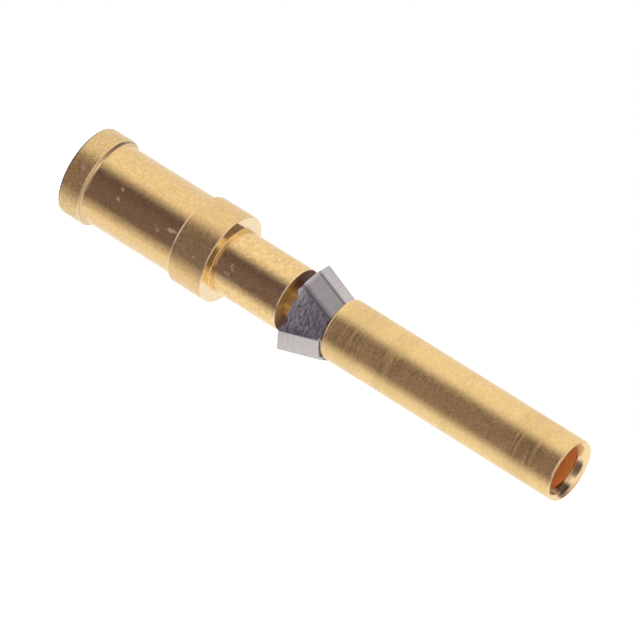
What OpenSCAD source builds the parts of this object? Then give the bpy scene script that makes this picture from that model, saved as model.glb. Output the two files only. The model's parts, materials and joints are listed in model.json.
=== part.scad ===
// Crimp socket contact for a round pin, lying on its side.
// X runs along its axis from the wire end to the mouth, and Z is up.
// The origin is on the surface that it lies on, under the middle of its length.

/* [Wire end] */
// Diameter of the bore that takes the stripped wire
wire_bore_d = 1.75; // [1.4:0.01:2]
// Wall of the crimp barrel round the wire bore
barrel_wall = 0.75; // [0.65:0.01:0.9]
// Length of the crimp barrel between the flange and the collar
barrel_l = 4.25; // [3.4:0.01:5.2]
// Height of the rear flange and of the collar above the barrel
flange_rise = 0.17; // [0.1:0.01:0.25]
// Length of the rear flange
flange_l = 0.95; // [0.7:0.01:1.3]
// Chamfer at the mouth of the wire bore
wire_lead = 0.2; // [0.1:0.01:0.3]

/* [Collar and neck] */
// Length of the collar that stops the contact in its housing
collar_l = 1.57; // [1.2:0.01:2]
// Wall of the neck round the wire bore
neck_wall = 0.42; // [0.3:0.01:0.5]
// Length of the neck
neck_l = 3.08; // [2.6:0.01:3.8]
// Depth of the wire bore in front of the collar
wire_in_neck = 1.23; // [1.1:0.01:1.5]
// Diameter of the inspection hole that shows the end of the wire
inspect_d = 0.7; // [0.5:0.01:0.8]
// Angle of the inspection hole round the axis, from straight up towards the far side
inspect_turn = 135; // [90:1:180]
// Fillet at the foot of the neck
root_r = 0.1; // [0.06:0.01:0.15]
// Width of the broken edge on the turned corners
edge = 0.04; // [0.02:0.01:0.06]

/* [Clip groove] */
// Diameter of the core at the bottom of the groove
core_d = 1.5; // [1.3:0.01:1.7]
// Length of the groove
groove_l = 2.13; // [1.8:0.01:2.6]

/* [Pin socket] */
// Diameter of the pin that goes in
pin_d = 1.6; // [1.4:0.01:1.8]
// Room round the pin inside the tines
pin_room = 0.005; // [0.005:0.001:0.03]
// Thickness of a tine
tine_wall = 0.175; // [0.13:0.005:0.22]
// Width of the slot between the tines
slot_w = 0.3; // [0.2:0.01:0.4]
// Length of the solid root between the spigot and the end of the socket bore
root_l = 0.7; // [0.6:0.01:1.2]
// Length of the socket bore that is left whole behind the slot
unslit_l = 0.6; // [0.3:0.01:1.5]
// Chamfer inside the tips of the tines
tip_lead = 0.08; // [0.05:0.01:0.09]

/* [Front sleeve] */
// Room between the tines and the sleeve
tine_room = 0.07; // [0.05:0.01:0.12]
// Wall of the sleeve
sleeve_wall = 0.2; // [0.16:0.01:0.25]
// Length of the sleeve
sleeve_l = 10.64; // [9:0.01:13]
// Length of the spigot that carries the sleeve
spigot_l = 2; // [1.5:0.01:3]
// Radial gap between the spigot and the sleeve
seat_gap = 0.005; // [0.003:0.001:0.01]
// Room round the pin in the mouth of the sleeve
mouth_room = 0.16; // [0.1:0.01:0.2]
// Length of the rounding that leads the pin into the mouth
lead_l = 0.4; // [0.3:0.01:0.5]
// Length of the plain ring behind the rounded mouth
land_l = 1.13; // [0.8:0.01:1.8]
// Gap between the plain ring and the tips of the tines
tip_gap = 0.15; // [0.1:0.01:0.4]
// Length of the slight taper outside the rim
rim_l = 0.1; // [0.06:0.01:0.2]
// Drop of that taper from the outside of the sleeve to the rim
rim_drop = 0.03; // [0.02:0.01:0.05]

/* [Retaining clip] */
// Thickness of the sheet
sheet = 0.12; // [0.08:0.01:0.15]
// Inner radius of the folds
fold_r = 0.05; // [0.03:0.01:0.1]
// Length of the clip along the axis
clip_l = 1.36; // [1.1:0.01:1.6]
// Gap between the clip and the end of the sleeve
clip_end_gap = 0.05; // [0.03:0.01:0.2]
// Width of the narrow facets on top, in front and below, the same from end to end
facet_w = 0.914; // [0.75:0.001:1]
// Distance from the clip's own axis to a narrow facet at the wide end
clip_reach = 1.835; // [1.75:0.005:2]
// Room between the core and the narrow end of the clip, all round
clip_play = 0.25; // [0.15:0.01:0.35]
// Gap left to the core where the narrow end hangs off centre
clip_gap = 0.03; // [0.02:0.005:0.06]
// Angle below the level at which the narrow end hangs towards the near side
clip_hang = 29; // [0:1:45]
// Distance that the wide end has slipped towards the near side
clip_slip = 0.17; // [0:0.01:0.25]
// Width of the flap beside the top facet, from its fold to the open side
flap_w = 0.577; // [0.45:0.001:0.65]
// Angle that the flap is folded through
flap_bend = 19; // [12:1:26]
// Width of the facet at the far side, from its fold up to the open side
end_w = 0.5; // [0.3:0.01:0.6]

/* [Hidden] */
$fn = 96;
ARC_STEPS = 4;
LEAD_STEPS = 8;
DRILL_POINT = 118;
GOLD = "goldenrod";
STEEL = "slategray";

// Radii, from the wire bore and the pin outwards
wire_r = wire_bore_d / 2;
barrel_r = wire_r + barrel_wall;
flange_r = barrel_r + flange_rise;
neck_r = wire_r + neck_wall;
core_r = core_d / 2;
pin_r = pin_d / 2;
socket_r = pin_r + pin_room;
tine_r = socket_r + tine_wall;
sleeve_bore_r = tine_r + tine_room;
spigot_r = sleeve_bore_r - seat_gap;
sleeve_r = sleeve_bore_r + sleeve_wall;
mouth_r = pin_r + mouth_room;
rim_r = sleeve_r - rim_drop;
lead_drop = rim_r - mouth_r;
lead_r = (pow(lead_l, 2) + pow(lead_drop, 2)) / (2 * lead_drop);
lead_turn = 2 * atan(lead_drop / lead_l);

// Places along the axis, from the rear face
collar_x = flange_l + barrel_l;
neck_x = collar_x + collar_l;
wire_end_x = neck_x + wire_in_neck;
inspect_x = neck_x + wire_in_neck / 2;
groove_x = neck_x + neck_l;
sleeve_x = groove_x + groove_l;
spigot_end_x = sleeve_x + spigot_l;
socket_end_x = spigot_end_x + root_l;
slot_x = socket_end_x + unslit_l;
mouth_x = sleeve_x + sleeve_l;
land_x = mouth_x - lead_l - land_l;
tip_x = land_x - tip_gap;

// The clip's narrow end goes round the core, and its wide end lies on the surface
clip_front_x = sleeve_x - clip_end_gap;
clip_rear_x = clip_front_x - clip_l;
clip_front_reach = core_r + clip_play + sheet;
clip_hang_r = clip_play - clip_gap;
clip_front_mid = [-clip_hang_r * cos(clip_hang), -clip_hang_r * sin(clip_hang)];
clip_rear_mid = [-clip_slip, clip_reach - flange_r];
outer_fold_r = fold_r + sheet;

// A point at an angle on a circle
function on_circle(mid, r, a) = mid + r * [cos(a), sin(a)];

// Hollow fillet of radius f, from the face at x to the cylinder of radius r in front of it
function root(r, x, f) =
    [for (i = [0:ARC_STEPS]) on_circle([r + f, x + f], f, 270 - 90 * i / ARC_STEPS)];

// Puts what is made along Z on the contact's axis, with Z = 0 at the rear face
module on_axis() {
    translate([-mouth_x / 2, 0, flange_r]) rotate([0, 90, 0]) children();
}

// A drilled blind hole from Z = 0 upwards, with a chamfered mouth and the point of the drill
module drilled(r, depth, lead) {
    cylinder(r = r, h = depth);
    cylinder(r1 = r + lead, r2 = r, h = lead);
    translate([0, 0, depth]) cylinder(r1 = r, r2 = 0, h = r / tan(DRILL_POINT / 2));
}

// Half section of the turned body: [radius, distance from the rear face]
module body_section() {
    polygon(concat(
        [[0, 0], [flange_r - edge, 0], [flange_r, edge]],
        [[flange_r, flange_l - edge], [flange_r - edge, flange_l]],
        root(barrel_r, flange_l, flange_rise - edge),
        [[barrel_r, collar_x], [flange_r - edge, collar_x], [flange_r, collar_x + edge]],
        [[flange_r, neck_x - edge], [flange_r - edge, neck_x]],
        root(neck_r, neck_x, root_r),
        [[neck_r, groove_x - edge], [neck_r - edge, groove_x], [core_r, groove_x]],
        [[core_r, sleeve_x], [spigot_r, sleeve_x], [spigot_r, spigot_end_x], [tine_r, spigot_end_x]],
        [[tine_r, tip_x - edge], [tine_r - edge, tip_x], [0, tip_x]]
    ));
}

// The turned body, from the crimp barrel to the spring tines
module contact_body() {
    color(GOLD) on_axis() difference() {
        rotate_extrude() body_section();
        drilled(wire_r, wire_end_x, wire_lead);
        translate([0, 0, inspect_x]) rotate([0, -90, -inspect_turn]) cylinder(d = inspect_d, h = flange_r);
        translate([0, 0, tip_x]) rotate([180, 0, 0]) drilled(socket_r, tip_x - socket_end_x, tip_lead);
        translate([-slot_w / 2, -sleeve_r, slot_x]) cube([slot_w, 2 * sleeve_r, mouth_x - slot_x]);
    }
}

// The plain tube that guards the tines, with a mouth that is rounded inside to lead the pin in
module front_sleeve() {
    lead_mid = [mouth_r + lead_r, mouth_x - lead_l];
    color(GOLD) on_axis() rotate_extrude() polygon(concat(
        [[sleeve_bore_r, sleeve_x], [sleeve_r - edge, sleeve_x], [sleeve_r, sleeve_x + edge]],
        [[sleeve_r, mouth_x - rim_l]],
        [for (i = [LEAD_STEPS:-1:0]) on_circle(lead_mid, lead_r, 180 - lead_turn * i / LEAD_STEPS)],
        [[mouth_r, land_x], [sleeve_bore_r, land_x]]
    ));
}

// Corners of the clip's section on the outside, from the flap to the far side: [Y, Z] for a given reach
function corners(reach) = let (h = facet_w / 2) [
    [h, reach] + flap_w * [cos(flap_bend), -sin(flap_bend)],
    [h, reach], [-h, reach], [-reach, h], [-reach, -h],
    [-h, -reach], [h, -reach], [reach, -h], [reach, end_w - h]
];

// Angle of the outward normal of the facet from corner a to corner b
function facing(a, b) = atan2(a[0] - b[0], b[1] - a[1]);

// Turn from one angle to another, by the shorter way
function turn(from, to) = let (t = to - from) t - 360 * floor((t + 180) / 360);

// Arc of the fold at corner b, on the face that lies depth below the outside
function fold(a, b, c, depth) = let (
    first = facing(a, b),
    bend = turn(first, facing(b, c)),
    mid = on_circle(b, -outer_fold_r / cos(bend / 2), first + bend / 2)
) [for (i = [0:ARC_STEPS]) on_circle(mid, outer_fold_r - depth, first + bend * i / ARC_STEPS)];

// Section line of one face of the sheet, with its folds rounded
function face_line(reach, depth) = let (c = corners(reach), last = len(c) - 1) concat(
    [on_circle(c[0], -depth, facing(c[0], c[1]))],
    [for (i = [1:last - 1]) each fold(c[i - 1], c[i], c[i + 1], depth)],
    [on_circle(c[last], -depth, facing(c[last - 1], c[last]))]
);

// The same line at a place along the axis, with its middle moved off the axis
function placed(line, x, mid) =
    [for (p = line) [x - mouth_x / 2, p[0] + mid[0], flange_r + p[1] + mid[1]]];

// The folded clip of sheet steel: narrow facets, three that taper between them, and an open side
module retaining_clip() {
    lines = [
        placed(face_line(clip_reach, 0), clip_rear_x, clip_rear_mid),
        placed(face_line(clip_front_reach, 0), clip_front_x, clip_front_mid),
        placed(face_line(clip_front_reach, sheet), clip_front_x, clip_front_mid),
        placed(face_line(clip_reach, sheet), clip_rear_x, clip_rear_mid)
    ];
    n = len(lines[0]);
    sides = [for (k = [0:3], i = [0:n - 2]) let (a = k * n + i, b = (k + 1) % 4 * n + i)
        [a, b, b + 1, a + 1]];
    ends = [[for (k = [3:-1:0]) k * n], [for (k = [0:3]) k * n + n - 1]];
    color(STEEL) polyhedron(points = [for (line = lines) each line], faces = concat(sides, ends));
}

contact_body();
front_sleeve();
retaining_clip();
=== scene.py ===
"""The looks of a crimp socket contact: two turned, gold-plated pieces and a folded steel clip."""

import json
import math
from types import SimpleNamespace

import bmesh
import bpy
from mathutils import Matrix, Quaternion, Vector


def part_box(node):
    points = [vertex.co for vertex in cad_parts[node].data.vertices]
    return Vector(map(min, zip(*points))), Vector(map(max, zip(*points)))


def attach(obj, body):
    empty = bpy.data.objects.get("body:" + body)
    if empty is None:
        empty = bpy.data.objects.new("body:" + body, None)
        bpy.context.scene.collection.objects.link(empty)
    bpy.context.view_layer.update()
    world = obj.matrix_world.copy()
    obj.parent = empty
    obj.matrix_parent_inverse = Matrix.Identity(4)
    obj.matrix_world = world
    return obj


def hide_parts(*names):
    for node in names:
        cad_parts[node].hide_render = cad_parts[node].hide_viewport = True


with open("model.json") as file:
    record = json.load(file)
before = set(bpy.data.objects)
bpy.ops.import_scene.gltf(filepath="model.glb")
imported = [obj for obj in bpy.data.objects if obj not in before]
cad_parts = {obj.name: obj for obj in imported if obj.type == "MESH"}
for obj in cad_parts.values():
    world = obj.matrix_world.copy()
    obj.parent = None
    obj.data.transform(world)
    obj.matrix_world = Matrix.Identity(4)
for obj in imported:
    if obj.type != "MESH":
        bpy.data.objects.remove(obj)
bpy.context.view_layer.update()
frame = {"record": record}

# Lengths are in millimetres and angles in degrees, unless a comment says otherwise
MM = 0.001

# Places and radii that the frame gives: X from the rear face, radii from the axis
body_low, body_high = (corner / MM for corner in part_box("contact_body"))
sleeve_low, sleeve_high = (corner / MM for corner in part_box("front_sleeve"))
clip_low, clip_high = (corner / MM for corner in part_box("retaining_clip"))
mount_r = {m["name"]: m["dims"]["r_mm"] for m in frame["record"]["mounts"]}
REAR = body_low.x
AXIS_Z = (body_low.z + body_high.z) / 2
FLANGE_R = (body_high.z - body_low.z) / 2
WIRE_R = mount_r["wire_barrel"]
SOCKET_R = mount_r["pin_socket"]
SLEEVE_R = mount_r["sleeve_outside"]
TIP_X = body_high.x - REAR
SLEEVE_X = sleeve_low.x - REAR
MOUTH_X = sleeve_high.x - REAR
CLIP_REAR_X = clip_low.x - REAR
CLIP_FRONT_X = clip_high.x - REAR
CLIP_L = CLIP_FRONT_X - CLIP_REAR_X

# The turned body
FLANGE_L = 0.95
COLLAR_X = 5.2
NECK_X = 6.77
GROOVE_X = 9.85
BARREL_R = 1.625
NECK_R = 1.295
CORE_R = 0.75
WIRE_END_X = 8.0
WIRE_LEAD = 0.2
DRILL_POINT = 118
INSPECT_R = 0.35
INSPECT_X = 7.385
INSPECT_TURN = 135
SPIGOT_L = 2
SPIGOT_END_X = SLEEVE_X + SPIGOT_L
# How far in front of the spigot the socket ends, and in front of that the slot
SOCKET_AHEAD = 0.7
SLOT_AHEAD = 0.6
SOCKET_END_X = SPIGOT_END_X + SOCKET_AHEAD
SLOT_X = SOCKET_END_X + SLOT_AHEAD
SLOT_W = 0.3
TINE_WALL = 0.175
TINE_R = SOCKET_R + TINE_WALL
TINE_EDGE_R = 0.04
TIP_LEAD = 0.08
ROOT_R = 0.05
FLANGE_ROOT_R = 0.12
REAR_EDGE_R = 0.06
TOOL_R = 0.02
# Broken edges, as length and drop
BROKEN_EDGE = (0.055, 0.016)

# The sleeve
SLEEVE_WALL = 0.2
PRESS_GAP = 0.005
SLEEVE_BORE_R = SLEEVE_R - SLEEVE_WALL
SPIGOT_R = SLEEVE_BORE_R - PRESS_GAP
MOUTH_R = 0.93
LEAD_L = 0.37
LEAD_X = MOUTH_X - LEAD_L
SINK_L = 0.13
SINK_R = 1.037
LAND_L = 1.53
LAND_X = MOUTH_X - LAND_L
RIM_L = 0.1
RIM_DROP = 0.03
RIM_R = SLEEVE_R - RIM_DROP
# Where the line that the sleeve is turned from starts and ends, in the bore behind the land
SEAM_X = LAND_X - 1

# The clip
SHEET = 0.12
FOLD_R = 0.17
FACET_W = 0.914
CLIP_REACH = 1.835
CLIP_PLAY = 0.25
CLIP_FRONT_REACH = CORE_R + CLIP_PLAY + SHEET
CLIP_REAR_MID = (-0.17, CLIP_REACH - FLANGE_R)
CLIP_FRONT_MID = (-0.1924, -0.1067)
FLAP_FOLD = 0.412
FLAP_W = 0.64
FLAP_REAR_BEND = 13.4
FLAP_FRONT_BEND = 17.7
FLAP_CORNER_R = 0.07
SIDE_LOW = 0.527
END_W = 0.5
CLIP_EDGE = 0.018
SCORE_DEPTH = 0.012
# Scored folds, as strength, place past the fold's middle and half width; each is cut in a little and
# carries painted shade
SCORE_FLAP = (0.75, 0, 0.07)
SCORE_UPPER = (1, 0.02, 0.095)

# Marks on the clip, wear and painted light among them. The facet painted dark as a reflection is the upper
# one on the near side: a share is 0 at its upper fold, 1 at its lower fold, below 0 on the top and the
# flap, and over 1 on the facets below it
CLIP_MARKS = ("scored", "rubbed", "burr", "tarnished")
# Its torn rear edge: share, half width and depth of each tear
TORN_EDGE = ((0.16, 0.07, -0.066), (0.28, 0.06, 0.1), (0.55, 0.05, 0.03), (0.79, 0.11, 0.16))
# The burr on that edge: share, half width and how fast it fades towards the front
BURR_SHARE = 0.15
BURR_HALF = 0.1
BURR_FADE = 9
# How pale the rear edge of the top and the flap is cut
EDGE_BURR = 0.6
# The shares painted dark as a reflection and streaked, how much less at the front, and how much less at the
# end of the lower band
PAINTED_DARK_FROM = 0.04
PAINTED_DARK_TO = 1.01
FRONT_FADE = 0.6
LOWER_BAND = 0.78
LOWER_FADE = 0.6
# Painted shade on the facets below, and on the front of the underside
PAINTED_SHADE_FROM = 1.02
PAINTED_SHADE_LOW = 0.25
UNDER_FROM = 1.95
UNDER_FRONT = 0.7
PAINTED_SHADE_UNDER = 0.9

# Edges of the plating painted pale, as worn plating and painted edge highlights, as X from the rear and
# radius
WORN_AND_HIGHLIT_EDGES = (
    (FLANGE_L, FLANGE_R), (COLLAR_X, FLANGE_R), (NECK_X, FLANGE_R),
    (GROOVE_X, NECK_R), (SLEEVE_X, SLEEVE_R), (MOUTH_X, RIM_R),
)

# Nicks in the plating: X from the rear, degrees from the top to the near side, half length, half width
NICKS = (
    (0.593, 38.3, 0.08, 0.06), (2.331, 35.3, 0.07, 0.05), (2.357, 49.6, 0.06, 0.06),
    (4.328, 56.2, 0.06, 0.05), (4.83, 47.6, 0.16, 0.1), (5.02, 46.2, 0.16, 0.05),
    (6.18, 60.3, 0.06, 0.05), (7.403, 61.1, 0.05, 0.05), (7.523, 61.1, 0.04, 0.06),
    (7.525, 44.4, 0.05, 0.06), (7.593, 50.9, 0.06, 0.05), (12.859, 8.2, 0.06, 0.04),
)
# How ragged they are, the half length from which one counts as long, and how ragged a long one is
NICK_RAGGED = 6
LONG_NICK = 0.1
LONG_NICK_RAGGED = 1.2

# Painted glints in the groove, over its painted shade: radians from the top towards the near side (from,
# to, softness) and strength
GROOVE_PAINTED_GLINTS = ((0.38, 0.64, 0.2, 1), (0.95, 1.35, 0.2, 0.95), (0.2, 1.75, 0.3, 0.62))
# Directions off the axis, as (y, z), across the mouth and into it, and painted dark reflections across the
# mouth's lead, which are given as the groove's painted glints are
MOUTH_ASLANT = (-0.789, -0.613)
MOUTH_FACING = (0.614, -0.79)
MOUTH_PAINTED_REFLECTIONS = ((0.42, 0.88, 0.12, 1), (-0.42, -0.12, 0.1, 0.45))

# Finishes: roughness, the weight of the coat, and the depth of the fine relief in metres
PLATE_ROUGH = 0.13
PLATE_HAZE = 0.12
SHOULDER_ROUGH = 0.07
LEAD_ROUGH = 0.17
NICK_ROUGH = 0.7
WORN_ROUGH = 0.22
PLATE_COAT = 0.4
PLATE_COAT_ROUGH = 0.2
PLATE_RELIEF = 1.2e-6
STEEL_ROUGH = 0.25
STEEL_RELIEF = 1e-6

# Colours of the plating, as red, green, blue and alpha
GOLD_DEEP = (0.74, 0.47, 0.185, 1)
GOLD_BRIGHT = (1, 0.725, 0.33, 1)
GOLD_HANDLED = (0.76, 0.495, 0.21, 1)
GOLD_SLEEVE = (0.98, 0.705, 0.305, 1)
GOLD_RINGS = (0.55, 0.36, 0.15, 1)
# Painted shade in the flange's root
GOLD_ROOT_PAINTED_SHADE = (0.72, 0.55, 0.34, 1)
GOLD_SHOULDER = (0.91, 0.7, 0.415, 1)
GOLD_LEAD = (0.95, 0.7, 0.39, 1)
GOLD_NICK = (0.95, 0.72, 0.54, 1)
# Pale edges: worn plating and painted edge highlights
GOLD_WORN_AND_HIGHLIT = (1, 0.8, 0.56, 1)
FLANGE_DARK = (0.46, 0.28, 0.105, 1)
FLANGE_PALE = (1, 0.79, 0.4, 1)
BORE_RED = (0.98, 0.55, 0.24, 1)
# Painted light on the bore's wall
BORE_PAINTED_LIGHT = (1, 0.68, 0.26, 1)
# The groove's painted shade and its painted glints
GROOVE_PAINTED_SHADE = (0.22, 0.08, 0.025, 1)
GROOVE_PAINTED_GLINT = (1, 0.61, 0.19, 1)
# Painted dark reflection in the mouth's lead
LEAD_PAINTED_REFLECTION = (0.12, 0.07, 0.045, 1)
# Painted shade on the flange's rear edge
REAR_EDGE_PAINTED_SHADE = (0.14, 0.125, 0.125, 1)

# Colours of the clip
STEEL_GREY = (0.64, 0.61, 0.605, 1)
STEEL_PALE = (0.78, 0.735, 0.72, 1)
# The painted dark reflection on the clip's near upper facet, and its streaks
CLIP_PAINTED_REFLECTION = (0.17, 0.155, 0.2, 1)
CLIP_STREAK = (1, 0.96, 1, 1)
# Painted shade on the clip's lower facets and underside
CLIP_PAINTED_SHADE = (0.2, 0.15, 0.11, 1)
# Painted shade in the scored folds
SCORE_PAINTED_SHADE = (0.085, 0.075, 0.09, 1)
BURR_PALE = (0.95, 0.95, 0.97, 1)

# Colours of the room
WHITE = (1, 1, 1, 1)
LAMP_WHITE = (1, 0.99, 0.98, 1)
ROOM_NEAR = (0.19, 0.155, 0.2, 1)
ROOM_DARK = (0.14, 0.11, 0.15, 1)
ROOM_MOUTH = (0.23, 0.2, 0.23, 1)

# The white sheet, from the contact's middle. In the metal it is white up to SHEET_LIT on the near side,
# then fades into the room, and so does its rear end
SHEET_L = 60
SHEET_NEAR = -19
SHEET_FAR = 4.5
SHEET_GLOW = 0.8
SHEET_LIT = 3.36
SHEET_FALL = 3.7
SHEET_LOSS = 0.1
SHEET_REAR = (-22, -17)

# Lights of the room, by direction: along is towards the mouth, across from the near to the far side.
# Two numbers are where a light starts and is full, or starts to end and is gone. Three are a band's edges
# and their softness. Level is how bright a light is, and low is the tent's level at its foot
TENT = SimpleNamespace(across=(-0.44, 0.26), along=(0.28, 0.5), up=(0.1, 0.8), low=0.92)
LAMP = SimpleNamespace(across=(-0.47, 0.21, 0.17), along=(0.32, 0.46), up=(0, 0.1))
STRIP = SimpleNamespace(across=(-0.4, 0.1), along=(0.09, 0.25, 0.05), up=(0, 0.2), level=0.9)
MOUTH_END = SimpleNamespace(across=(0.5, 1.4), along=(0.7, 0.92), level=0.95)
REAR_END = SimpleNamespace(along=(0.6, 0.8), up=(-0.05, 0.1), level=0.9)
DARK_ACROSS = (-0.9, -0.55)
MOUTH_ALONG = (0, 0.5)
# Just over 1, so that nothing is divided by 0 straight ahead
ALL_ROUND = 1.001

# The camera: where it stands, its distance and reach in metres, its lens, the axis's slope in the picture,
# and how far the contact's middle lies right of and above the picture's middle
CAMERA_AZIMUTH = 35.8
CAMERA_ELEVATION = 46.2
CAMERA_DISTANCE = 0.524
CAMERA_REACH = 10
CAMERA_LENS = 809
AXIS_SLOPE = 32.03
RIGHT_OF_MIDDLE = 0.2758
ABOVE_MIDDLE = 0.0043

# How fine the meshes are
TURNS = 256
HOLE_TURNS = 48
ARC_STEP = 9
FACET_STEPS = 24
CLIP_STEPS = 10
CLIP_EDGE_STEPS = 2
# Edges up to the first angle are shaded smooth, and the clip's edges over the second are broken
SMOOTH_ANGLE = 30
CLIP_EDGE_ANGLE = 60
# The most that a large face may lead its small neighbours in shading
FACE_WEIGHT = 100

# Sockets of a colour Mix node, whose names aren't unique
MIX_SHARE = 0
MIX_A = 6
MIX_B = 7
MIX_RESULT = 2


def make_node(tree, kind, settings=None, sockets=None):
    """One node: its settings are set first, then the values or links of its sockets."""
    made = tree.nodes.new(kind)
    for name, value in (settings or {}).items():
        setattr(made, name, value)
    for key, value in (sockets or {}).items():
        if isinstance(value, Field):
            tree.links.new(value.socket, made.inputs[key])
        else:
            made.inputs[key].default_value = value
    return made


class Field:
    """A value that varies over a surface: arithmetic on it adds Math nodes to its material."""

    def __init__(self, tree, socket):
        self.tree = tree
        self.socket = socket

    def math(self, operation, *values):
        node = make_node(self.tree, "ShaderNodeMath", {"operation": operation}, dict(enumerate(values)))
        return Field(self.tree, node.outputs[0])

    def __add__(self, other):
        return self.math("ADD", self, other)

    def __sub__(self, other):
        return self.math("SUBTRACT", self, other)

    def __rsub__(self, other):
        return self.math("SUBTRACT", other, self)

    def __mul__(self, other):
        return self.math("MULTIPLY", self, other)

    def __truediv__(self, other):
        return self.math("DIVIDE", self, other)

    def __rtruediv__(self, other):
        return self.math("DIVIDE", other, self)

    def __pow__(self, other):
        return self.math("POWER", self, other)

    __radd__ = __add__
    __rmul__ = __mul__

    def larger(self, other):
        return self.math("MAXIMUM", self, other)

    def step(self, low, high):
        """0 below low and 1 above high, with a smooth ramp between them."""
        settings = {"interpolation_type": "SMOOTHSTEP"}
        sockets = {"Value": self, "From Min": low, "From Max": high}
        return Field(self.tree, make_node(self.tree, "ShaderNodeMapRange", settings, sockets).outputs[0])

    def fall(self, low, high):
        """1 below low and 0 above high, with a smooth ramp between them."""
        return 1 - self.step(low, high)

    def band(self, low, high, soft):
        """1 between low and high, and 0 outside them."""
        return self.step(low - soft, low + soft) * self.fall(high - soft, high + soft)

    def spots(self, rows):
        """The largest of several bands, each given by its edges, softness and strength."""
        largest = 0 * self
        for low, high, soft, strength in rows:
            largest = largest.larger(strength * self.band(low, high, soft))
        return largest


class Nodes:
    """The node tree of a material or of the world."""

    def __init__(self, owner):
        owner.use_nodes = True
        self.tree = owner.node_tree
        self.tree.nodes.clear()

    def node(self, kind, settings=None, sockets=None, output=0):
        return Field(self.tree, make_node(self.tree, kind, settings, sockets).outputs[output])

    def mix(self, share, a, b):
        """A colour that goes from a to b as share goes from 0 to 1."""
        sockets = {MIX_SHARE: share, MIX_A: a, MIX_B: b}
        return self.node("ShaderNodeMix", {"data_type": "RGBA"}, sockets, MIX_RESULT)

    def layered(self, tone, layers):
        """A colour with others laid over it in turn, each by its share."""
        for share, colour in layers:
            tone = self.mix(share, tone, colour)
        return tone

    def noise(self, vector, scale=1.0, detail=2.0, roughness=0.5):
        sockets = {"Vector": vector, "Scale": scale, "Detail": detail, "Roughness": roughness}
        return self.node("ShaderNodeTexNoise", None, sockets)

    def stretch(self, vector, factors):
        return self.node("ShaderNodeVectorMath", {"operation": "MULTIPLY"}, {0: vector, 1: factors})

    def millimetres(self):
        """The place on the piece, in millimetres of the frame."""
        return self.stretch(self.node("ShaderNodeTexCoord", output="Object"), (1000, 1000, 1000))

    def split(self, vector):
        outputs = make_node(self.tree, "ShaderNodeSeparateXYZ", None, {0: vector}).outputs
        return [Field(self.tree, socket) for socket in outputs]

    def combine(self, *values):
        return self.node("ShaderNodeCombineXYZ", None, dict(enumerate(values)))

    def kept(self, name):
        """A value that the mesh keeps at each of its points."""
        return self.node("ShaderNodeAttribute", {"attribute_name": name}, output="Fac")

    def ray(self, question):
        return self.node("ShaderNodeLightPath", output=question)

    def bump(self, height, depth):
        """The lean of a surface with this height over it, for a depth in metres."""
        return self.node("ShaderNodeBump", None, {"Strength": 1.0, "Distance": depth, "Height": height})

    def emission(self, colour, strength):
        return self.node("ShaderNodeEmission", None, {"Color": colour, "Strength": strength})

    def background(self, colour):
        return self.node("ShaderNodeBackground", None, {"Color": colour, "Strength": 1.0})

    def mix_shader(self, share, a, b):
        return self.node("ShaderNodeMixShader", None, {0: share, 1: a, 2: b})

    def surface(self, shader, kind="ShaderNodeOutputMaterial"):
        make_node(self.tree, kind, None, {"Surface": shader})


def placed(x, y, z):
    """A point of the contact, given from the middle of its rear face, in the frame's metres."""
    return Vector((REAR + x, y, AXIS_Z + z)) * MM


def arc(mid, radius, start, end):
    """Points on a circle from one angle to another."""
    steps = max(2, round(abs(end - start) / ARC_STEP))
    angles = [math.radians(start + (end - start) * i / steps) for i in range(steps + 1)]
    return [(mid[0] + radius * math.cos(a), mid[1] + radius * math.sin(a)) for a in angles]


def rounded(corners):
    """The line through corners (x, y, radius), with each corner rounded to its radius."""
    line = []
    for i, (x, y, radius) in enumerate(corners):
        here = Vector((x, y))
        if radius == 0:
            line.append((x, y))
            continue
        before = (Vector(corners[i - 1][:2]) - here).normalized()
        after = (Vector(corners[i + 1][:2]) - here).normalized()
        half = before.angle(after) / 2
        mid = here + (before + after).normalized() * radius / math.sin(half)
        first = here + before * radius / math.tan(half) - mid
        last = here + after * radius / math.tan(half) - mid
        start = math.degrees(math.atan2(first.y, first.x))
        turn = math.degrees(math.atan2(first.x * last.y - first.y * last.x, first.dot(last)))
        line += arc(mid, radius, start, start + turn)
    return line


def front_edge(x, r):
    """Corners of a broken edge that faces the mouth."""
    length, drop = BROKEN_EDGE
    return [(x - length, r, TOOL_R), (x, r - drop, TOOL_R)]


def back_edge(x, r):
    """Corners of a broken edge that faces the wire end."""
    length, drop = BROKEN_EDGE
    return [(x, r - drop, TOOL_R), (x + length, r, TOOL_R)]


def new_piece(name, bm):
    """An object from a bmesh, with its faces turned outwards."""
    bmesh.ops.recalc_face_normals(bm, faces=bm.faces)
    mesh = bpy.data.meshes.new(name)
    bm.to_mesh(mesh)
    bm.free()
    piece = bpy.data.objects.new(name, mesh)
    bpy.context.scene.collection.objects.link(piece)
    return piece


def soften(piece):
    """Smooth shading over gentle edges, with flat and round faces kept true up to the sharp ones."""
    piece.data.polygons.foreach_set("use_smooth", [True] * len(piece.data.polygons))
    piece.data.set_sharp_from_angle(angle=math.radians(SMOOTH_ANGLE))
    weighted = piece.modifiers.new("true_faces", "WEIGHTED_NORMAL")
    weighted.keep_sharp = True
    weighted.weight = FACE_WEIGHT


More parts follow.
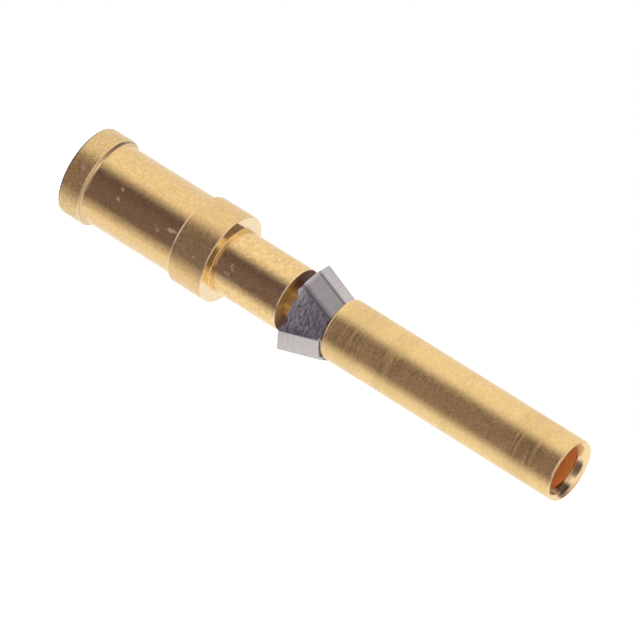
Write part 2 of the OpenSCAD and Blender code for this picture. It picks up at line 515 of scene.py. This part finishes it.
def lathe(name, line, closed):
    """A piece turned about the contact's axis from a line of (x, radius)."""
    bm = bmesh.new()
    rings = []
    for x, r in line:
        count = TURNS if r > 0 else 1
        angles = [math.tau * i / TURNS for i in range(count)]
        rings.append([bm.verts.new(placed(x, r * math.cos(a), r * math.sin(a))) for a in angles])
    following = rings[1:] + rings[:1] if closed else rings[1:]
    for a, b in zip(rings, following):
        for i in range(TURNS):
            j = (i + 1) % TURNS
            corners = [a[i % len(a)], a[j % len(a)], b[j % len(b)], b[i % len(b)]]
            bm.faces.new(list(dict.fromkeys(corners)))
    return new_piece(name, bm)


def cut(piece, cutter):
    """Takes the cutter's shape away from the piece."""
    subtract = piece.modifiers.new("cut", "BOOLEAN")
    subtract.operation = "DIFFERENCE"
    subtract.solver = "EXACT"
    subtract.object = cutter
    bpy.context.view_layer.update()
    evaluated = piece.evaluated_get(bpy.context.evaluated_depsgraph_get())
    mesh = bpy.data.meshes.new_from_object(evaluated)
    piece.modifiers.clear()
    piece.data = mesh
    bpy.data.objects.remove(cutter)


def slot_cutter():
    """The slot between the two tines."""
    bm = bmesh.new()
    bmesh.ops.create_cube(bm, size=1)
    length = MOUTH_X - SLOT_X
    bmesh.ops.scale(bm, vec=Vector((length, 2 * SLEEVE_R, SLOT_W)) * MM, verts=bm.verts)
    bmesh.ops.translate(bm, vec=placed(SLOT_X + length / 2, 0, 0), verts=bm.verts)
    return new_piece("slot_cutter", bm)


def inspection_cutter():
    """The hole through which the wire can be seen, from the axis outwards."""
    bm = bmesh.new()
    radius = INSPECT_R * MM
    bmesh.ops.create_cone(
        bm, cap_ends=True, segments=HOLE_TURNS, radius1=radius, radius2=radius, depth=FLANGE_R * MM
    )
    bmesh.ops.translate(bm, vec=(0, 0, FLANGE_R / 2 * MM), verts=bm.verts)
    turn = Matrix.Rotation(-math.radians(INSPECT_TURN), 3, "X")
    bmesh.ops.rotate(bm, cent=(0, 0, 0), matrix=turn, verts=bm.verts)
    bmesh.ops.translate(bm, vec=placed(INSPECT_X, 0, 0), verts=bm.verts)
    return new_piece("inspection_cutter", bm)


def contact_body():
    """The turned body: flange, crimp barrel, collar, neck, groove, spigot and tines."""
    point = math.tan(math.radians(DRILL_POINT) / 2)
    line = rounded([
        (WIRE_END_X + WIRE_R / point, 0, 0), (WIRE_END_X, WIRE_R, 0),
        (WIRE_LEAD, WIRE_R, TOOL_R), (0, WIRE_R + WIRE_LEAD, TOOL_R),
        (0, FLANGE_R, REAR_EDGE_R), *front_edge(FLANGE_L, FLANGE_R), (FLANGE_L, BARREL_R, FLANGE_ROOT_R),
        (COLLAR_X, BARREL_R, TOOL_R), *back_edge(COLLAR_X, FLANGE_R),
        *front_edge(NECK_X, FLANGE_R), (NECK_X, NECK_R, ROOT_R),
        *front_edge(GROOVE_X, NECK_R), (GROOVE_X, CORE_R, TOOL_R), (SLEEVE_X, CORE_R, TOOL_R),
        (SLEEVE_X, SPIGOT_R, TOOL_R), (SPIGOT_END_X, SPIGOT_R, TOOL_R), (SPIGOT_END_X, TINE_R, TOOL_R),
        (TIP_X, TINE_R, TINE_EDGE_R), (TIP_X, SOCKET_R + TIP_LEAD, 0), (TIP_X - TIP_LEAD, SOCKET_R, 0),
        (SOCKET_END_X, SOCKET_R, 0), (SOCKET_END_X - SOCKET_R / point, 0, 0),
    ])
    piece = lathe("turned_body", line, closed=False)
    cut(piece, slot_cutter())
    cut(piece, inspection_cutter())
    soften(piece)
    return piece


def front_sleeve():
    """The tube round the tines: its rim tapers outside, and its mouth opens in two steps inside."""
    line = rounded([
        (SEAM_X, SLEEVE_BORE_R, 0), (SLEEVE_X, SLEEVE_BORE_R, TOOL_R),
        *back_edge(SLEEVE_X, SLEEVE_R), (MOUTH_X - RIM_L, SLEEVE_R, RIM_L), (MOUTH_X, RIM_R, TOOL_R),
        (MOUTH_X - SINK_L, SINK_R, SINK_L), (LEAD_X, MOUTH_R, SINK_L),
        (LAND_X, MOUTH_R, 0), (LAND_X, SLEEVE_BORE_R, 0),
    ])
    piece = lathe("hood_sleeve", line, closed=True)
    soften(piece)
    return piece


def clip_corners(reach, flap_bend):
    """Corners of the clip's section on the outside, from its flap to its open side, as (y, z)."""
    h = FACET_W / 2
    bend = math.radians(flap_bend)
    flap = (FLAP_FOLD + FLAP_W * math.cos(bend), reach - FLAP_W * math.sin(bend))
    return [
        flap, (FLAP_FOLD, reach), (-h, reach), (-reach, h), (-reach, -SIDE_LOW),
        (-h, -reach), (h, -reach), (reach, -h), (reach, END_W - h),
    ]


def clip_stations(reach, flap_bend):
    """(point, outward normal) all along the clip's section, and which one is at each fold's middle."""
    corners = [Vector(c) for c in clip_corners(reach, flap_bend)]
    facets = [(b - a).normalized() for a, b in zip(corners, corners[1:])]
    normals = [Vector((d.y, -d.x)) for d in facets]
    starts, ends, folds = [corners[0]], [], []
    for corner, n0, n1 in zip(corners[1:-1], normals, normals[1:]):
        mid = corner - (n0 + n1) * FOLD_R / (1 + n0.dot(n1))
        turn = math.atan2(n0.x * n1.y - n0.y * n1.x, n0.dot(n1))
        steps = 2 * max(2, round(abs(math.degrees(turn)) / ARC_STEP))
        turned = [Matrix.Rotation(turn * i / steps, 2) @ n0 for i in range(steps + 1)]
        folds.append([(mid + FOLD_R * n, n) for n in turned])
        ends.append(folds[-1][0][0])
        starts.append(folds[-1][-1][0])
    ends.append(corners[-1])
    stations, middles = [], []
    for i, n in enumerate(normals):
        first = 0 if i == 0 else 1
        last = FACET_STEPS if i == len(normals) - 1 else FACET_STEPS - 1
        stations += [(starts[i].lerp(ends[i], k / FACET_STEPS), n) for k in range(first, last + 1)]
        if i < len(folds):
            middles.append(len(stations) + len(folds[i]) // 2)
            stations += folds[i]
    return stations, middles


def torn(share):
    """How far the torn edge lies in front of the clip's rear, at a share of the near upper facet."""
    return sum(depth * math.exp(-((share - place) / half) ** 2) for place, half, depth in TORN_EDGE)


def scored(past, strength, place, half_width):
    """How deep a fold is scored, at a run past its middle."""
    return strength * math.exp(-((past - place) / half_width) ** 2)


def flap_corner(run):
    """How far the flap's rounded corners stand back from its ends, at a run from its tip."""
    return FLAP_CORNER_R - math.sqrt(FLAP_CORNER_R ** 2 - max(FLAP_CORNER_R - run, 0) ** 2)


def clip_wear(share, t):
    """Painted dark reflection, burr and painted shade at a share of the near upper facet, and at t from
    rear (0) to front (1).
    """
    rubbed = 0
    if PAINTED_DARK_FROM < share < PAINTED_DARK_TO:
        lower = max(0, share - LOWER_BAND) / (1 - LOWER_BAND)
        rubbed = (1 - FRONT_FADE * t) * (1 - LOWER_FADE * lower)
    burr = math.exp(-((share - BURR_SHARE) / BURR_HALF) ** 2 - BURR_FADE * t)
    if t == 0 and share < 0:
        burr = max(burr, EDGE_BURR)
    tarnished = 0
    if share >= UNDER_FROM and t >= UNDER_FRONT:
        tarnished = PAINTED_SHADE_UNDER
    elif share >= PAINTED_SHADE_FROM:
        tarnished = PAINTED_SHADE_LOW
    return rubbed, burr, tarnished


def sheet_faces(bm, outer, inner):
    """The faces of a sheet between two grids of points: both sides, then its edges."""
    rows, steps = len(outer) - 1, len(outer[0]) - 1
    for grid in (outer, inner):
        for r0, r1 in zip(grid, grid[1:]):
            for k in range(steps):
                bm.faces.new((r0[k], r0[k + 1], r1[k + 1], r1[k]))
    for k in (0, steps):
        for i in range(rows):
            bm.faces.new((outer[i][k], outer[i + 1][k], inner[i + 1][k], inner[i][k]))
    for i in (0, rows):
        for k in range(steps):
            bm.faces.new((outer[i][k], outer[i][k + 1], inner[i][k + 1], inner[i][k]))


def retaining_clip():
    """The folded sheet, wide at the rear, with rounded folds and one side open."""
    rear, middles = clip_stations(CLIP_REACH, FLAP_REAR_BEND)
    front = clip_stations(CLIP_FRONT_REACH, FLAP_FRONT_BEND)[0]
    runs = [0.0]
    for (p0, _), (p1, _) in zip(rear, rear[1:]):
        runs.append(runs[-1] + (p1 - p0).length)
    flap_fold, upper_fold, lower_fold = (runs[m] for m in middles[:3])
    bm = bmesh.new()
    layers = [bm.verts.layers.float.new(name) for name in CLIP_MARKS]
    grids = []
    for depth in (0, SHEET):
        grid = []
        for run, (p0, n0), (p1, n1) in zip(runs, rear, front):
            score = max(scored(run - flap_fold, *SCORE_FLAP), scored(run - upper_fold, *SCORE_UPPER))
            share = (run - upper_fold) / (lower_fold - upper_fold)
            inset = depth or SCORE_DEPTH * score
            a = p0 - inset * n0 + Vector(CLIP_REAR_MID)
            b = p1 - inset * n1 + Vector(CLIP_FRONT_MID)
            corner = flap_corner(run) / CLIP_L
            tear = torn(share) / CLIP_L
            row = []
            for k in range(CLIP_STEPS + 1):
                t = k / CLIP_STEPS
                place = t + (tear + corner) * (1 - t) ** 2 - corner * t ** 2
                y, z = a.lerp(b, place)
                point = bm.verts.new(placed(CLIP_REAR_X + CLIP_L * place, y, z))
                for layer, value in zip(layers, (score, *clip_wear(share, t))):
                    point[layer] = value
                row.append(point)
            grid.append(row)
        grids.append(grid)
    sheet_faces(bm, *grids)
    piece = new_piece("folded_clip", bm)
    bevel = piece.modifiers.new("broken_edges", "BEVEL")
    bevel.width = CLIP_EDGE * MM
    bevel.segments = CLIP_EDGE_STEPS
    bevel.limit_method = "ANGLE"
    bevel.angle_limit = math.radians(CLIP_EDGE_ANGLE)
    soften(piece)
    return piece


def turned_place(nodes):
    """Where a point of a turned piece lies: along the axis, off it, and round it (radians from the top)."""
    mm = nodes.millimetres()
    x, y, z = nodes.split(mm)
    up = z - AXIS_Z
    radius = (y * y + up ** 2) ** 0.5
    return SimpleNamespace(
        mm=mm,
        along=x - REAR,
        radius=radius,
        turn=up.math("ARCTAN2", 0 - y, up),
        aslant=(MOUTH_ASLANT[0] * y + MOUTH_ASLANT[1] * up) / radius,
        facing=(MOUTH_FACING[0] * y + MOUTH_FACING[1] * up) / radius,
    )


def plating_zones(at):
    """Stretches and faces with a finish of their own, and places with painted shade: 1 there and 0
    elsewhere, ending just off an edge.
    """
    along, radius = at.along, at.radius
    in_groove = along.band(GROOVE_X - 0.01, SLEEVE_X + 0.01, 0.01)
    front_of_collar = along.band(NECK_X - 0.01, NECK_X + 0.03, 0.01)
    front_of_flange = along.band(FLANGE_L - 0.01, FLANGE_L + FLANGE_ROOT_R, 0.01)
    shoulder = front_of_collar * radius.step(NECK_R + 0.02, NECK_R + 0.05)
    lead = along.step(LEAD_X - 0.06, LEAD_X - 0.03) * radius.fall(RIM_R - 0.03, RIM_R - 0.01)
    hole_ends = radius.fall(MOUTH_R + 0.02, MOUTH_R + 0.08) * (1 - at.aslant.band(-0.72, 0.8, 0.12))
    return SimpleNamespace(
        flange=along.fall(FLANGE_L - 0.05, FLANGE_L + 0.05),
        rear_edge=along.fall(0.05, 0.07) * radius.step(FLANGE_R - 0.05, FLANGE_R - 0.035),
        root=front_of_flange * radius.step(BARREL_R + 0.005, BARREL_R + 0.02),
        barrel=along.band(FLANGE_L, COLLAR_X, 0.02),
        collar=along.band(COLLAR_X, NECK_X, 0.02),
        shoulder=shoulder,
        groove=in_groove * radius.fall(NECK_R - 0.04, NECK_R - 0.02),
        sleeve=along.step(GROOVE_X, SLEEVE_X) * radius.step(SLEEVE_R - 0.04, SLEEVE_R - 0.01),
        inside=along.step(TIP_X - 0.5, TIP_X) * radius.fall(MOUTH_R + 0.005, MOUTH_R + 0.03),
        lead=lead,
        dull_lead=lead * hole_ends,
        burnished=shoulder.larger(lead),
    )


def worn_and_highlit_edges(at):
    """Edges painted pale, as worn plating and painted edge highlights, most on the near side."""
    half = BROKEN_EDGE[0]
    worn_and_highlit = 0 * at.along
    for place, edge_r in WORN_AND_HIGHLIT_EDGES:
        at_edge = at.along.band(place - half, place + half, 0.015)
        worn_and_highlit = worn_and_highlit.larger(at_edge * at.radius.step(edge_r - 0.05, edge_r - 0.03))
    return worn_and_highlit * (0.4 + 0.6 * at.turn.band(0.35, 2.2, 0.25))


def plating_nicks(at, speckle):
    """Nicks with an outline that the speckle makes ragged."""
    nicks = 0 * at.along
    for place, degrees, half_length, half_width in NICKS:
        ahead = (at.along - place) / half_length
        aside = (at.turn - math.radians(degrees)) * at.radius / half_width
        ragged = NICK_RAGGED if half_length < LONG_NICK else LONG_NICK_RAGGED
        off = ahead ** 2 + aside ** 2 + ragged * (speckle - 0.4)
        nicks = nicks.larger(1 - off.step(0.4, 1.1))
    return nicks


def plating_marks(nodes, at, zone):
    """Marks of plating, turning and use, with painted glints in the groove and painted edge highlights: the
    rings, in groups, are the tool marks on the sleeve.
    """
    mm = at.mm
    arc_run = at.turn * at.radius
    diagonal = nodes.combine(14 * (at.along + 0.6 * arc_run), 1.2 * (arc_run - at.along))
    scratches = nodes.noise(diagonal, roughness=0.6)
    groups = nodes.noise(nodes.stretch(mm, (0.9, 0.1, 0.1)))
    rings = nodes.noise(nodes.stretch(mm, (12, 0.6, 0.6)), roughness=0.7)
    speckle = nodes.noise(mm, scale=16, roughness=0.7).step(0.32, 0.68)
    return SimpleNamespace(
        grain=nodes.noise(mm, scale=55, detail=1).step(0.45, 0.65),
        speckle=speckle,
        mottle=nodes.noise(mm, scale=8, detail=3, roughness=0.65),
        turning=nodes.noise(nodes.stretch(mm, (24, 0.4, 0.4)), detail=3, roughness=0.7),
        groups=groups.step(0.45, 0.62) * zone.sleeve,
        rings=rings.step(0.36, 0.64),
        scratches=scratches.step(0.58, 0.75) * (1 - zone.sleeve),
        # Painted glints in the groove
        spots=at.turn.spots(GROOVE_PAINTED_GLINTS),
        nicks=plating_nicks(at, speckle),
        worn_and_highlit=worn_and_highlit_edges(at),
    )


def plating_rough(zone, mark):
    """Polished plating under a fine haze, thickest on the flange, with burnished faces and raw nicks."""
    polish = PLATE_ROUGH + 0.08 * zone.flange + 0.08 * zone.collar + 0.04 * zone.sleeve
    polish = polish + 0.7 * zone.inside + 0.1 * (mark.mottle - 0.5)
    polish = polish + zone.groove * (0.4 + 0.1 * mark.spots)
    haze = PLATE_HAZE + 0.55 * zone.flange + 0.2 * zone.collar + 0.4 * zone.sleeve
    haze = haze * (0.7 + 0.6 * mark.speckle) * mark.grain
    rough = polish + haze + 0.08 * mark.scratches + 0.3 * mark.groups * (mark.rings - 0.5)
    rough = rough * (1 - zone.burnished) + SHOULDER_ROUGH * zone.shoulder + LEAD_ROUGH * zone.lead
    return (rough + 0.5 * zone.dull_lead).larger(NICK_ROUGH * mark.nicks).larger(WORN_ROUGH * mark.worn_and_highlit)


def plating_tone(nodes, at, zone, mark):
    """The gold's colour: mottled all over, with each zone's and each mark's tone laid over it, painted
    shade, painted glints, painted reflections and painted light among them.
    """
    mottled = nodes.mix(mark.mottle.step(0.25, 0.75), GOLD_DEEP, GOLD_BRIGHT)
    flange = nodes.mix(mark.speckle, FLANGE_DARK, FLANGE_PALE)
    lengthwise = nodes.noise(nodes.stretch(at.mm, (0.6, 9, 9)), roughness=0.6)
    # The bore is painted lighter on the wall that faces up towards the near side, as painted light, with
    # lengthwise streaks
    painted_light_in_bore = at.facing.step(0.7, 1.0) * (0.6 + 0.8 * (lengthwise - 0.25))
    bore = nodes.mix(painted_light_in_bore, BORE_RED, BORE_PAINTED_LIGHT)
    # The groove is painted dark as shade in its hollow, with painted glints where light would reach it
    groove = nodes.mix(mark.spots, GROOVE_PAINTED_SHADE, GROOVE_PAINTED_GLINT)
    # Painted dark reflections across the mouth's lead
    painted_reflections = at.aslant.spots(MOUTH_PAINTED_REFLECTIONS) * at.facing.step(0, 0.3)
    lead = nodes.mix(painted_reflections * at.radius.fall(SINK_R - 0.01, SINK_R + 0.09), GOLD_LEAD, LEAD_PAINTED_REFLECTION)
    # Painted shade on the flange's rear edge, strongest on the near side
    near_side_painted_shade = 0.35 + 0.65 * at.turn.band(-0.4, 1.9, 0.4)
    return nodes.layered(mottled, (
        (0.3 * zone.barrel + 0.35 * zone.collar, GOLD_HANDLED),
        (0.4 * zone.flange, flange),
        (0.45 * zone.sleeve, GOLD_SLEEVE),
        (0.4 * mark.groups * (1 - mark.rings), GOLD_RINGS),
        # Painted shade in the root between the flange and the barrel
        (0.8 * zone.root, GOLD_ROOT_PAINTED_SHADE),
        (zone.inside, bore),
        (zone.groove, groove),
        (mark.nicks, GOLD_NICK),
        (zone.shoulder, GOLD_SHOULDER),
        (zone.lead, lead),
        # Pale edges: worn plating and painted edge highlights
        (0.8 * mark.worn_and_highlit, GOLD_WORN_AND_HIGHLIT),
        (zone.rear_edge * near_side_painted_shade, REAR_EDGE_PAINTED_SHADE),
    ))


def gold_plate():
    """Satin gold plating over fine turning marks, nicked, and duller on the flange, collar and sleeve."""
    material = bpy.data.materials.new("gold_plate")
    nodes = Nodes(material)
    at = turned_place(nodes)
    zone = plating_zones(at)
    mark = plating_marks(nodes, at, zone)
    uncoated = zone.inside.larger(zone.groove).larger(zone.lead).larger(mark.worn_and_highlit).larger(zone.rear_edge)
    height = 0.8 * mark.mottle + (0.5 + 4 * mark.groups) * mark.turning - 0.4 * mark.scratches
    nodes.surface(nodes.node("ShaderNodeBsdfPrincipled", None, {
        "Base Color": plating_tone(nodes, at, zone, mark),
        "Metallic": 1 - 0.8 * zone.groove,
        "Roughness": plating_rough(zone, mark),
        "Normal": nodes.bump(height * (1 - zone.burnished), PLATE_RELIEF),
        "Coat Weight": PLATE_COAT * (1 - uncoated),
        "Coat Roughness": PLATE_COAT_ROUGH,
    }))
    return material


def clip_steel():
    """Brushed spring steel, with painted shade along its scored folds and on its lower facets, and its near
    upper facet painted dark as a reflection, with streaks.
    """
    material = bpy.data.materials.new("clip_steel")
    nodes = Nodes(material)
    mm = nodes.millimetres()
    x, y, z = nodes.split(mm)
    brushed = nodes.noise(nodes.stretch(mm, (30, 2, 2)), detail=3, roughness=0.6)
    tilted = nodes.combine(18 * (x + 0.25 * y), 4 * y, 4 * z)
    streaks = nodes.noise(tilted, detail=5, roughness=0.85).step(0.38, 0.66)
    score, rubbed, burr, tarnished = (nodes.kept(name) for name in CLIP_MARKS)
    plain = nodes.mix(brushed.step(0.3, 0.7), STEEL_GREY, STEEL_PALE)
    # The near upper facet is painted dark as a reflection, with light streaks over it
    painted_reflection_streaked = nodes.mix(streaks * (0.2 + 0.7 * rubbed), CLIP_PAINTED_REFLECTION, CLIP_STREAK)
    tone = nodes.layered(plain, (
        (rubbed.step(0.1, 0.3), painted_reflection_streaked),
        # Painted shade on the lower facets, darkest at the front of the underside
        (tarnished, CLIP_PAINTED_SHADE),
        # Painted shade along the scored folds
        (0.9 * score, SCORE_PAINTED_SHADE),
        (burr, BURR_PALE),
    ))
    nodes.surface(nodes.node("ShaderNodeBsdfPrincipled", None, {
        "Base Color": tone,
        "Metallic": 1.0,
        "Roughness": STEEL_ROUGH + 0.1 * brushed + 0.4 * burr,
        "Normal": nodes.bump(brushed, STEEL_RELIEF),
    }))
    return material


def white_sheet():
    """The white sheet under the contact: white to the camera, fading in the metal, with a soft shadow."""
    bm = bmesh.new()
    places = ((-SHEET_L, SHEET_NEAR), (SHEET_L, SHEET_NEAR), (SHEET_L, SHEET_FAR), (-SHEET_L, SHEET_FAR))
    bm.faces.new([bm.verts.new((x * MM, y * MM, 0)) for x, y in places])
    sheet = new_piece("white_sheet", bm)
    material = bpy.data.materials.new("white_sheet")
    nodes = Nodes(material)
    paper = nodes.node("ShaderNodeBsdfDiffuse", None, {"Color": WHITE})
    seen = nodes.node("ShaderNodeAddShader", None, {0: paper, 1: nodes.emission(WHITE, SHEET_GLOW)})
    along, across, _ = nodes.split(nodes.millimetres())
    lit = (SHEET_FALL / (0 - across).larger(SHEET_LIT) - SHEET_LOSS) * along.step(*SHEET_REAR)
    mirrored = nodes.emission(nodes.mix(lit, ROOM_NEAR, WHITE), 1.0)
    in_metal = nodes.ray("Is Glossy Ray") + nodes.ray("Is Transmission Ray")
    nodes.surface(nodes.mix_shader(in_metal, seen, mirrored))
    sheet.data.materials.append(material)


def studio():
    """A white tent on the far side, a lamp overhead towards the mouth, pale ends and a dim near side."""
    world = bpy.data.worlds.new("studio")
    bpy.context.scene.world = world
    nodes = Nodes(world)
    x, y, z = nodes.split(nodes.node("ShaderNodeTexCoord", output="Generated"))
    across = y / (ALL_ROUND - x * x) ** 0.5
    tent = across.step(*TENT.across) * x.fall(*TENT.along)
    tent = tent * (TENT.low + (1 - TENT.low) * z.step(*TENT.up))
    lamp = across.band(*LAMP.across) * x.step(*LAMP.along) * z.step(*LAMP.up)
    strip = STRIP.level * x.band(*STRIP.along) * across.fall(*STRIP.across) * z.step(*STRIP.up)
    mouth_end = MOUTH_END.level * x.step(*MOUTH_END.along) * across.fall(*MOUTH_END.across)
    rear_end = REAR_END.level * (0 - x).step(*REAR_END.along) * z.step(*REAR_END.up)
    near = nodes.mix(across.step(*DARK_ACROSS), ROOM_NEAR, ROOM_DARK)
    dim = nodes.mix(x.step(*MOUTH_ALONG), near, ROOM_MOUTH)
    bright = tent.larger(lamp).larger(strip).larger(mouth_end + rear_end)
    room = nodes.background(nodes.mix(bright, dim, LAMP_WHITE))
    backdrop = nodes.background(WHITE)
    nodes.surface(nodes.mix_shader(nodes.ray("Is Camera Ray"), room, backdrop), "ShaderNodeOutputWorld")


def camera():
    """The photograph's view: from above the mouth, far off, with the axis running down to the right."""
    azimuth = math.radians(CAMERA_AZIMUTH)
    elevation = math.radians(CAMERA_ELEVATION)
    side = math.cos(elevation)
    back = Vector((math.sin(azimuth) * side, -math.cos(azimuth) * side, math.sin(elevation)))
    along = Vector((1, 0, 0))
    flat = (along - along.dot(back) * back).normalized()
    right = Quaternion(back, math.radians(AXIS_SLOPE)) @ flat
    up = back.cross(right)
    aim = placed(MOUTH_X / 2, 0, 0) - (RIGHT_OF_MIDDLE * right + ABOVE_MIDDLE * up) * MM
    data = bpy.data.cameras.new("camera")
    data.lens = CAMERA_LENS
    data.clip_end = CAMERA_REACH
    made = bpy.data.objects.new("camera", data)
    bpy.context.scene.collection.objects.link(made)
    turn = Matrix((right, up, back)).transposed().to_4x4()
    made.matrix_world = Matrix.Translation(aim + back * CAMERA_DISTANCE) @ turn
    bpy.context.scene.camera = made


def dress(piece, node, material):
    """Gives a piece its finish and lets it stand for its CAD node."""
    piece.data.materials.clear()
    piece.data.materials.append(material)
    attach(piece, "root")
    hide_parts(node)


bpy.context.scene.view_settings.view_transform = "Standard"
camera()
studio()
white_sheet()
gold = gold_plate()
dress(contact_body(), "contact_body", gold)
dress(front_sleeve(), "front_sleeve", gold)
dress(retaining_clip(), "retaining_clip", clip_steel())
